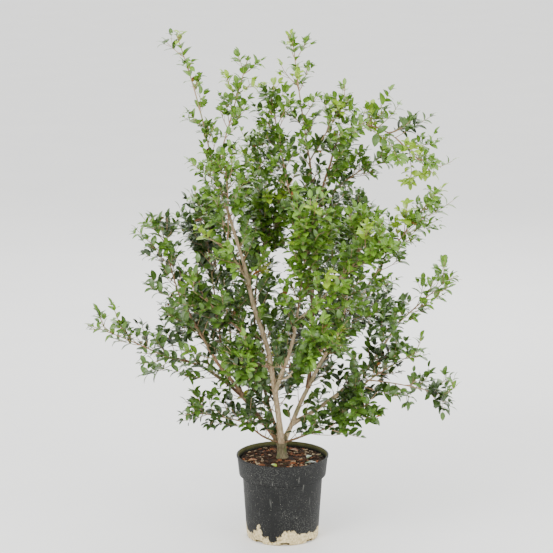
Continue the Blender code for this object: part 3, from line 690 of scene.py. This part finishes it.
def limbs_piece(name, paths, names, rounding):
    """Round limbs as one curve of many splines, made a mesh, with the bark's relief on it."""
    curve = bpy.data.curves.new(name, "CURVE")
    curve.dimensions = "3D"
    curve.bevel_depth = MM
    curve.bevel_resolution = rounding
    curve.use_fill_caps = True
    for limb in names:
        points, radii = paths[limb]
        last = (len(points) - 1) * FINE_STEPS
        spline = curve.splines.new("POLY")
        spline.points.add(last)
        for k, place in enumerate(spline.points):
            share = k / last
            at = share * (len(points) - 1)
            low = min(int(at), len(points) - 2)
            place.co = (*(point_along(points, share) * MM), 1.0)
            place.radius = radii[low] + (radii[low + 1] - radii[low]) * (at - low)
    select_only(link_mesh(name, curve))
    bpy.ops.object.convert(target="MESH")
    piece = bpy.context.view_layer.objects.active
    bm = bmesh.new()
    bm.from_mesh(piece.data)
    bmesh.ops.remove_doubles(bm, verts=bm.verts, dist=LIMB_MERGE)
    bmesh.ops.recalc_face_normals(bm, faces=bm.faces)
    bm.normal_update()
    for corner in bm.verts:
        relief = 0.0
        for ridges, squeeze, share in BARK_RIDGES:
            place = Vector((corner.co.x, corner.co.y, corner.co.z * squeeze)) * ridges
            relief += noise.noise(place) * share
        corner.co += corner.normal * relief * BARK_RELIEF * MM
    bm.to_mesh(piece.data)
    bm.free()
    piece.data.shade_smooth()
    return piece


def width_at(share):
    """How wide a mass is at a share of its length, against its spread: most of a half wave."""
    return MASS_NECK + MASS_BELLY * np.sin(np.pi * np.clip(share * MASS_WAVE + MASS_WAVE_START, 0, 1))


class Spaces:
    """Each mass keeps to the places that are nearer to its own line than to another's."""

    def __init__(self, paths):
        starts = [point_along(paths[m.bough][0], m.along) for m in MASSES.values()]
        self.starts = np.array([tuple(p) for p in starts])
        self.ends = np.array([m.reach for m in MASSES.values()], float)
        self.spreads = np.array([m.spread for m in MASSES.values()], float) * SPREAD_SHARE
        self.low = np.array(tuple(CAD_BOX[0])) / MM - BOX_MARGIN
        self.high = np.array(tuple(CAD_BOX[1])) / MM + BOX_MARGIN
        self.along = self.ends - self.starts
        self.length_squared = (self.along**2).sum(1)
        bare = []
        for name, low, high in BARE_STEMS:
            points, _ = paths[name]
            count = round((points[-1] - points[0]).length * (high - low) / BARE_STEP)
            shares = [low + (high - low) * k / count for k in range(count + 1)]
            bare += [tuple(point_along(points, share)) for share in shares]
        self.bare = np.array(bare)

    def hides_stem(self, places):
        """Whether any place lies in front of a stem that shows bare."""
        off = places[:, None, :] - self.bare[None]
        rise = off[..., 2] + off[..., 1] * VIEW_SLOPE
        near = (np.abs(off[..., 0]) < BARE_HALF) & (np.abs(rise) < BARE_HALF)
        return bool((near & (off[..., 1] < 0)).any())

    def holds(self, own, places):
        """Whether all places are in the box and, for a mass, in its own space."""
        places = np.array([tuple(p) for p in places], float)
        if (places < self.low).any() or (places > self.high).any():
            return False
        if self.hides_stem(places):
            return False
        if own is None:
            return bool((places[:, 2] + places[:, 1] * VIEW_SLOPE > LOWEST_SIDE_LEAF).all())
        reach = places[:, None, :] - self.starts[None]
        share = np.clip((reach * self.along[None]).sum(2) / self.length_squared[None], 0, 1)
        off = reach - share[..., None] * self.along[None]
        far = np.sqrt((off**2).sum(2))
        scaled = far / self.spreads[None]
        others = np.delete(scaled, own, axis=1).min(axis=1)
        beyond = (places - self.ends[own]) @ self.along[own]
        fits = far[:, own] <= self.spreads[own] * width_at(share[:, own])
        fits &= (beyond <= 0) & (others >= scaled[:, own] - MASS_OVERLAP)
        fits &= places[:, 2] > LOWEST_LEAF
        return bool(fits.all())


class Growth:
    """What has grown so far: twigs as paths with radii, and leaves by kind."""

    def __init__(self):
        self.twigs = []
        self.tips = np.zeros((0, 3))
        self.leaves = {kind: [] for kind in LEAF_KINDS}
        self.pair_step = NODE_STEP

    def openness(self, place):
        """How far the nearest twig's tip is, squared."""
        if not len(self.tips):
            return math.inf
        return float(((self.tips - np.array(tuple(place))) ** 2).sum(1).min())

    def add_twig(self, points, tip):
        self.twigs.append((points, TWIG_RADIUS, TWIG_TIP_RADIUS))
        self.tips = np.vstack([self.tips, np.array([tuple(tip)])])


def spray_kind(tone, rng):
    """The leaf kind of a whole spray, by how much light it gets."""
    if rng.random() < YELLOW_SHARE:
        return "yellow"
    return next(kind for kind, leaf in LEAF_KINDS.items() if tone <= leaf.tone)


def splayed(along, ahead, aside, rng):
    """The way of a shoot that leaves its stem at a random turn about it."""
    spin = Matrix.Rotation(rng.uniform(0, 2 * math.pi), 3, along)
    return along * ahead + (spin @ along.orthogonal().normalized()) * aside


def dress(growth, spaces, own, points, kind, rng):
    """Opposite pairs, each at right angles to the last, and a small leaf at the tip."""
    length = sum((b - a).length for a, b in zip(points, points[1:]))
    along = (points[-1] - points[-2]).normalized()
    up = (UP - along * along.z).normalized()
    side = along.cross(up)
    turn = rng.uniform(*PAIR_TURN)
    bare = length * rng.uniform(*BARE_FOOT)
    tip_size = LEAF_LENGTH * rng.uniform(*TIP_LEAF)
    if spaces.holds(None, [points[-1] + along * tip_size]):
        growth.leaves[kind].append((points[-1], along, up, tip_size, rng.uniform(*TIP_LEAF_ARCH)))
    back = FIRST_PAIR
    pair = 0
    while back < length - bare:
        node = point_along(points, 1 - back / length)
        angle = turn + (math.pi / 2 if pair % 2 else 0.0)
        cross = side * math.cos(angle) + up * math.sin(angle)
        opening = math.radians(rng.uniform(*LEAF_OPENING))
        size = LEAF_LENGTH * (YOUNG_LEAF + LEAF_GAIN * min(1.0, pair / 2)) * rng.uniform(*LEAF_SIZES)
        for way in (1, -1):
            direction = along * math.cos(opening) + cross * way * math.sin(opening)
            direction.normalize()
            if direction.z < LOWEST_POINTING:
                direction = (direction + LEAF_LIFT).normalized()
            if not spaces.holds(own, [node + direction * size * part for part in LEAF_TESTED]):
                continue
            sway = Vector((rng.gauss(0, LEAF_SWAY), rng.gauss(0, LEAF_SWAY), 0))
            face = UP + along * LEAF_LEAN + sway
            face = (face - direction * face.dot(direction)).normalized()
            chosen = "dead" if rng.random() < DEAD_SHARE else kind
            growth.leaves[chosen].append((node, direction, face, size, rng.uniform(*LEAF_ARCH)))
        back += growth.pair_step * rng.uniform(*NODE_STEP_RANGE)
        pair += 1


def curved_twig(foot, tip, rng):
    """A twig that leaves low and turns up a little towards the light."""
    bow = Vector((rng.gauss(0, 1), rng.gauss(0, 1), TWIG_DROOP)) * (tip - foot).length * TWIG_BOW
    return bend(foot, tip, bow, TWIG_STEPS)


def grow_mass(growth, spaces, name, twig_count):
    """A stem to the mass's reach, and forked twigs that each fill its thinnest place."""
    own = MASS_NAMES.index(name)
    mass = MASSES[name]
    rng = random.Random(f"{SEED} {name}")
    growth.pair_step = OPEN_NODE_STEP if mass.thick < OPEN_THICKNESS else NODE_STEP
    start = Vector(spaces.starts[own])
    reach = Vector(mass.reach)
    end = reach - (reach - start).normalized() * LEAF_LENGTH * STEM_SHORT
    sag = Vector((rng.uniform(-1, 1), rng.uniform(-1, 1), STEM_ARCH)) * STEM_SAG
    sag = sag * (end - start).length
    stem = bend(start, end, sag, STEM_STEPS)
    growth.twigs.append((stem, STEM_RADIUS, STEM_TIP_RADIUS))
    kind = spray_kind(mass.tone + STEM_END_TONE, rng)
    dress(growth, spaces, own, stem[STEM_STEPS // 2:], kind, rng)
    for _ in range(twig_count):
        best = None
        for _ in range(CHOICES):
            share = rng.uniform(*TWIG_FEET)
            foot = point_along(stem, share)
            ahead = point_along(stem, min(1.0, share + TWIG_AHEAD))
            along = (ahead - point_along(stem, share - TWIG_BEHIND)).normalized()
            out = (splayed(along, *TWIG_SPLAY, rng) + TWIG_LIFT).normalized()
            room = mass.spread * float(width_at(share * TWIG_INNER))
            tip = foot + out * max(TWIG_LEAST, room * rng.uniform(*TWIG_REACH) - TWIG_MARGIN)
            if not spaces.holds(own, [foot.lerp(tip, TWIG_TESTED), tip]):
                continue
            free = growth.openness(tip)
            if best is None or free > best[0]:
                best = (free, foot, tip, share)
        if best is None:
            continue
        _, foot, tip, share = best
        points = curved_twig(foot, tip, rng)
        growth.add_twig(points, tip)
        # Painted light and shade: the mass's brightness with scatter, lighter outwards and higher up.
        tone = mass.tone + rng.gauss(0, TONE_SCATTER) + (share - 0.5) * OUTER_TONE
        kind = spray_kind(tone + (tip.z - MIDDLE_HEIGHT) / TONE_RISE, rng)
        dress(growth, spaces, own, points, kind, rng)
        for _ in range(FORKS):
            fork = point_along(points, rng.uniform(*FORK_FEET))
            out = splayed((tip - foot).normalized(), *FORK_SPLAY, rng) + FORK_LIFT
            twiglet = fork + out.normalized() * rng.uniform(*FORK_LENGTH)
            if spaces.holds(own, [twiglet]):
                fine = curved_twig(fork, twiglet, rng)
                growth.twigs.append((fine, TWIG_TIP_RADIUS, TWIG_TIP_RADIUS * FORK_TAPER))
                dress(growth, spaces, own, fine, kind, rng)


def dress_boughs(growth, spaces, paths):
    """Side twigs up each bough, each where the crown is thinnest, in painted shade low down inside.
    """
    for name in BOUGHS:
        rng = random.Random(f"{SEED} side {name}")
        points, _ = paths[name]
        length = (points[-1] - points[0]).length
        for _ in range(round(length / SIDE_TWIG_STEP)):
            best = None
            for _ in range(CHOICES):
                share = SIDE_TWIG_FROM + (1 - SIDE_TWIG_FROM) * rng.random()
                foot = point_along(points, share)
                along = (foot - point_along(points, share - SIDE_TWIG_BEHIND)).normalized()
                out = (splayed(along, *SIDE_SPLAY, rng) + TWIG_LIFT).normalized()
                tip = foot + out * rng.uniform(*SIDE_TWIG_LENGTH)
                if tip.z < SIDE_TWIG_LEAST or not spaces.holds(None, [tip]):
                    continue
                free = growth.openness(tip)
                if best is None or free > best[0]:
                    best = (free, foot, tip)
            if best is None:
                continue
            _, foot, tip = best
            twig = curved_twig(foot, tip, rng)
            growth.add_twig(twig, tip)
            # Painted shade: lower side twigs and those towards the rear take darker greens.
            tone = SIDE_TONE + (tip.z - LOWEST_HEIGHT) / SIDE_TONE_RISE - tip.y / SIDE_TONE_DEPTH
            tone += rng.gauss(0, TONE_SCATTER)
            dress(growth, spaces, None, twig, spray_kind(tone, rng), rng)


def grow(paths):
    """The whole crown: each mass's share of the twigs goes by its size and thickness."""
    spaces = Spaces(paths)
    growth = Growth()
    sizes = {}
    for k, (name, mass) in enumerate(MASSES.items()):
        length = math.sqrt(spaces.length_squared[k])
        sizes[name] = (length + mass.spread) * mass.spread * mass.thick
    whole = sum(sizes.values())
    for name, size in sizes.items():
        grow_mass(growth, spaces, name, round(TWIG_TOTAL * size / whole))
    growth.pair_step = NODE_STEP
    dress_boughs(growth, spaces, paths)
    return growth


def leaf_template(arch):
    """A pointed, finely toothed blade along +X, folded at its midrib, its tip arched down."""
    points = []
    uvs = []
    for row in range(LEAF_ROWS + 1):
        s = row / LEAF_ROWS
        half = LEAF_POINT
        if 0 < s < 1:
            half = 0.5 * LEAF_WIDTH * math.sin(math.pi * s**LEAF_MIDDLE) ** LEAF_FULLNESS
        half *= LEAF_TEETH[row % 2]
        rise = LEAF_SWELL * math.sin(math.pi * s) - arch * LEAF_DROOP * s**LEAF_CURL
        x = s - LEAF_PULL * arch * s**2
        for v in (-1.0, 0.0, 1.0):
            points.append((x, v * half, rise + abs(v) * half * LEAF_FOLD))
            uvs.append((s, 0.5 + v * 0.5))
    faces = []
    for row in range(LEAF_ROWS):
        a = row * 3
        faces.append((a, a + 3, a + 4, a + 1))
        faces.append((a + 1, a + 4, a + 5, a + 2))
    return np.array(points), np.array(uvs), np.array(faces)


def leaves_piece(name, leaves):
    """Leaves of one kind as one mesh, each from the template for its third of the arches."""
    templates = [leaf_template(arch) for arch in LEAF_ARCHES]
    points = []
    uvs = []
    faces = []
    base = 0
    for root, along, up, size, arch in leaves:
        shape, flat, quads = templates[min(len(templates) - 1, int(arch * len(templates)))]
        side = up.cross(along).normalized()
        turn = np.array([tuple(along), tuple(side), tuple(along.cross(side).normalized())])
        points.append((shape * size) @ turn + np.array(tuple(root)))
        uvs.append(flat)
        faces.append(quads + base)
        base += len(shape)
    mesh = mesh_of_arrays(name, np.vstack(points) * MM, np.vstack(faces), np.vstack(uvs))
    return link_mesh(name, mesh)


def twigs_piece(name, twigs):
    """All twigs as closed tapering tubes in one mesh."""
    points = []
    faces = []
    base = 0
    sides = TWIG_SIDES
    angles = np.arange(sides) * 2 * math.pi / sides
    for path, thick, thin in twigs:
        last = len(path) - 1
        for k, centre in enumerate(path):
            along = (path[min(k + 1, last)] - path[max(k - 1, 0)]).normalized()
            across = along.cross(ASKEW).normalized()
            other = along.cross(across)
            radius = thick + (thin - thick) * k / last
            for a in angles:
                points.append(tuple(centre + (across * math.cos(a) + other * math.sin(a)) * radius))
        for k in range(last):
            for j in range(sides):
                a = base + k * sides + j
                b = base + k * sides + (j + 1) % sides
                faces.append((a, b, b + sides, a + sides))
        points.append(tuple(path[0] - (path[1] - path[0]).normalized() * thick))
        points.append(tuple(path[-1] + (path[-1] - path[-2]).normalized() * thin))
        foot = base + (last + 1) * sides
        for j in range(sides):
            a = base + j
            b = base + (j + 1) % sides
            faces.append((b, a, foot))
            faces.append((a + last * sides, b + last * sides, foot + 1))
        base = foot + 2
    bm = bmesh.new()
    corners = [bm.verts.new(Vector(p) * MM) for p in points]
    for face in faces:
        bm.faces.new([corners[k] for k in face])
    bmesh.ops.recalc_face_normals(bm, faces=bm.faces)
    mesh = bpy.data.meshes.new(name)
    bm.to_mesh(mesh)
    bm.free()
    mesh.shade_smooth()
    return link_mesh(name, mesh)


def spun(name, profile, steps):
    """A profile of radius and height spun about Z in edit mode, closed and facing out."""
    mesh = bpy.data.meshes.new(name)
    bm = bmesh.new()
    corners = [bm.verts.new((x * MM, 0.0, z * MM)) for x, z in profile]
    for here, there in zip(corners, corners[1:]):
        bm.edges.new((here, there))
    bm.to_mesh(mesh)
    bm.free()
    piece = link_mesh(name, mesh)
    select_only(piece)
    bpy.ops.object.mode_set(mode="EDIT")
    bpy.ops.mesh.select_all(action="SELECT")
    bpy.ops.mesh.spin(steps=steps, angle=2 * math.pi, center=(0, 0, 0), axis=(0, 0, 1))
    bpy.ops.mesh.select_all(action="SELECT")
    bpy.ops.mesh.remove_doubles(threshold=SPUN_MERGE)
    bpy.ops.mesh.normals_make_consistent(inside=False)
    bpy.ops.object.mode_set(mode="OBJECT")
    return piece


def wall_radius(height):
    return BASE_RADIUS + (BODY_TOP_RADIUS - BASE_RADIUS) * height / (POT_HEIGHT - COLLAR_HEIGHT)


def pot_profile():
    """The pot's section, up its inner wall, over its rolled rim and down outside to the foot."""
    collar = POT_HEIGHT - COLLAR_HEIGHT
    inner = [
        (0.0, WALL), (BASE_RADIUS - WALL - 2.0, WALL), (wall_radius(6.0) - WALL, 6.0),
        (BODY_TOP_RADIUS - WALL, collar - 5.0), (COLLAR_FOOT_RADIUS - WALL, collar + 3.0),
    ]
    rim = [
        (RIM_RADIUS - 6.0, POT_HEIGHT - 7.0), (RIM_RADIUS - 5.0, POT_HEIGHT - 1.0),
        (RIM_RADIUS - 4.0, POT_HEIGHT), (RIM_RADIUS - 1.2, POT_HEIGHT),
        (RIM_RADIUS - 0.2, POT_HEIGHT - 0.6), (RIM_RADIUS, POT_HEIGHT - 2.0),
        (RIM_RADIUS - 0.4, POT_HEIGHT - 5.0), (RIM_RADIUS - 2.4, POT_HEIGHT - 6.5),
    ]
    collar_foot = [
        (COLLAR_FOOT_RADIUS + 0.2, collar + 3.0), (COLLAR_FOOT_RADIUS - 0.4, collar + 0.8),
        (COLLAR_FOOT_RADIUS - 1.8, collar), (BODY_TOP_RADIUS + 3.0, collar - 0.2),
        (BODY_TOP_RADIUS + 0.8, collar - 1.4), (BODY_TOP_RADIUS, collar - 4.0),
    ]
    seam = [
        (BODY_TOP_RADIUS - 0.4, collar - 7.0), (BODY_TOP_RADIUS + 0.1, collar - 8.5),
        (wall_radius(collar - 11.0), collar - 11.0),
    ]
    body = [
        (wall_radius(90.0), 90.0), (wall_radius(5.0), 5.0), (wall_radius(0.0) - 0.9, 1.6),
        (wall_radius(0.0) - 3.6, 0.0), (0.0, 0.0),
    ]
    return inner + rim + collar_foot + seam + body


def make_pot():
    pot = spun("moulded_pot", pot_profile(), POT_STEPS)
    for k in range(NOTCH_COUNT):
        turn = Matrix.Rotation(NOTCH_TURN + 2 * math.pi * k / NOTCH_COUNT, 4, "Z")
        bpy.ops.mesh.primitive_cube_add(size=1.0)
        cutter = bpy.context.view_layer.objects.active
        size = Matrix.Diagonal((*(side * MM for side in NOTCH_SIZE), 1))
        cutter.data.transform(turn @ Matrix.Translation((BASE_RADIUS * MM, 0, 0)) @ size)
        select_only(pot)
        cut = pot.modifiers.new("drain", "BOOLEAN")
        cut.operation = "DIFFERENCE"
        cut.object = cutter
        bpy.ops.object.modifier_apply(modifier=cut.name)
        bpy.data.objects.remove(cutter, do_unlink=True)
    select_only(pot)
    bpy.ops.object.shade_smooth_by_angle(angle=POT_EDGE_ANGLE)
    return finish_piece(pot, pot_material(), ["pot"])


def soil_height(x, y):
    """The crumbly top of the mix in millimetres, highest in its middle."""
    away = math.hypot(x, y)
    lumps = [noise.noise(Vector((x, y, level)) / size) * rise for size, level, rise in SOIL_LUMPS]
    return SOIL_TOP - SOIL_SETTLED - SOIL_FALL * (away / SOIL_RADIUS) ** SOIL_ROUNDING + sum(lumps)


def make_soil():
    top = [(SOIL_RADIUS * k / SOIL_RINGS, SOIL_TOP) for k in range(SOIL_RINGS + 1)]
    soil = spun("potting_mix_top", top + SOIL_UNDERSIDE, SOIL_STEPS)
    for corner in soil.data.vertices:
        if corner.co.z > SOIL_EDGE * MM:
            corner.co.z = soil_height(corner.co.x / MM, corner.co.y / MM) * MM
    soil.data.shade_smooth()
    return finish_piece(soil, soil_material(), ["soil"])


def make_chips():
    """Bark chips strewn on the mix, each a block with its corners pushed about."""
    for name, (low, high, count) in CHIP_KINDS.items():
        rng = random.Random(f"{SEED} {name}")
        bm = bmesh.new()
        for _ in range(count):
            away = (SOIL_RADIUS - CHIP_MARGIN) * math.sqrt(rng.random())
            turn = rng.uniform(0, 2 * math.pi)
            x = away * math.cos(turn)
            y = away * math.sin(turn)
            size = [rng.uniform(*sides) for sides in CHIP_SIDES]
            place = Vector((x, y, soil_height(x, y) + size[2] * CHIP_SINK)) * MM
            heading = Matrix.Rotation(rng.uniform(0, CHIP_HEADING), 4, "Z")
            tilt = Matrix.Rotation(rng.gauss(0, CHIP_TILT), 4, "X")
            shape = Matrix.Diagonal((*(side * MM for side in size), 1))
            spin = heading @ tilt
            whole = Matrix.Translation(place) @ spin @ shape
            made = bmesh.ops.create_cube(bm, size=1.0, matrix=whole)
            for corner in made["verts"]:
                push = [rng.uniform(-CHIP_PUSH, CHIP_PUSH) * MM for _ in range(3)]
                corner.co += Vector(push)
        mesh = bpy.data.meshes.new(name)
        bm.to_mesh(mesh)
        bm.free()
        finish_piece(link_mesh(name, mesh), chip_material("pine_" + name, low, high))


def lay_fallen(growth):
    for (x, y), heading, size, kind in FALLEN:
        turn = math.radians(heading)
        along = Vector((math.cos(turn), math.sin(turn), FALLEN_TIP)).normalized()
        root = Vector((x, y, soil_height(x, y) + FALLEN_GAP))
        growth.leaves[kind].append((root, along, UP, size, FALLEN_ARCH))


def make_plant():
    paths = make_paths()
    brown = [name for name in BOUGHS if name not in PALE_BOUGHS]
    trunk = limbs_piece("trunk_bark", paths, ["trunk"], TRUNK_ROUNDING)
    olive = bark_material("olive_grey_bark", "5c5640", "857a5c", "5f6a3c")
    finish_piece(trunk, olive, ["trunk"])
    pale = limbs_piece("pale_boughs", paths, PALE_BOUGHS, BOUGH_ROUNDING)
    tan = bark_material("pale_tan_bark", "a28b6d", "cfbb98", "968e69")
    finish_piece(pale, tan, PALE_BOUGHS)
    dark = limbs_piece("brown_boughs", paths, brown, BOUGH_ROUNDING)
    finish_piece(dark, bark_material("brown_bark", "694f39", "947659", "6c6c4a"), brown)
    growth = grow(paths)
    lay_fallen(growth)
    twigs = twigs_piece("twigs", growth.twigs)
    finish_piece(twigs, bark_material("tan_twig_bark", "8a6a50", "b8997a", "7c8450"))
    masses = MASS_NAMES
    for kind, leaves in growth.leaves.items():
        material = leaf_material(kind)
        for k in range(0, len(leaves), LEAVES_A_PIECE):
            name = f"leaves_{kind}_{1 + k // LEAVES_A_PIECE}"
            piece = leaves_piece(name, leaves[k:k + LEAVES_A_PIECE])
            finish_piece(piece, material, masses)
            masses = ()


def make_studio():
    """A pale floor, an even white sky and three soft round lamps."""
    bpy.ops.object.select_all(action="DESELECT")
    bpy.ops.mesh.primitive_plane_add(size=FLOOR_SIZE, location=(0, 0, -FLOOR_GAP))
    floor = bpy.context.view_layer.objects.active
    floor.name = "studio_floor"
    floor.data.materials.append(floor_material())
    world = bpy.data.worlds.new("studio")
    world.use_nodes = True
    sky = world.node_tree.nodes["Background"]
    sky.inputs["Color"].default_value = linear("fbfbfb")
    sky.inputs["Strength"].default_value = SKY_STRENGTH
    bpy.context.scene.world = world
    for name, place, target, size, power in LAMPS:
        data = bpy.data.lights.new(name, "AREA")
        data.shape = "DISK"
        data.size = size
        data.energy = power
        lamp = link_mesh(name, data)
        lamp.location = place
        aim = Vector(target) - Vector(place)
        lamp.rotation_euler = aim.to_track_quat("-Z", "Y").to_euler()


def make_camera():
    data = bpy.data.cameras.new("camera")
    data.lens = CAMERA_LENS
    data.sensor_width = CAMERA_SENSOR
    camera = link_mesh("camera", data)
    camera.location = CAMERA_PLACE
    camera.rotation_euler = (math.radians(90 - CAMERA_DIP), 0, 0)
    bpy.context.scene.camera = camera


make_camera()
make_pot()
make_soil()
make_chips()
make_plant()
make_studio()
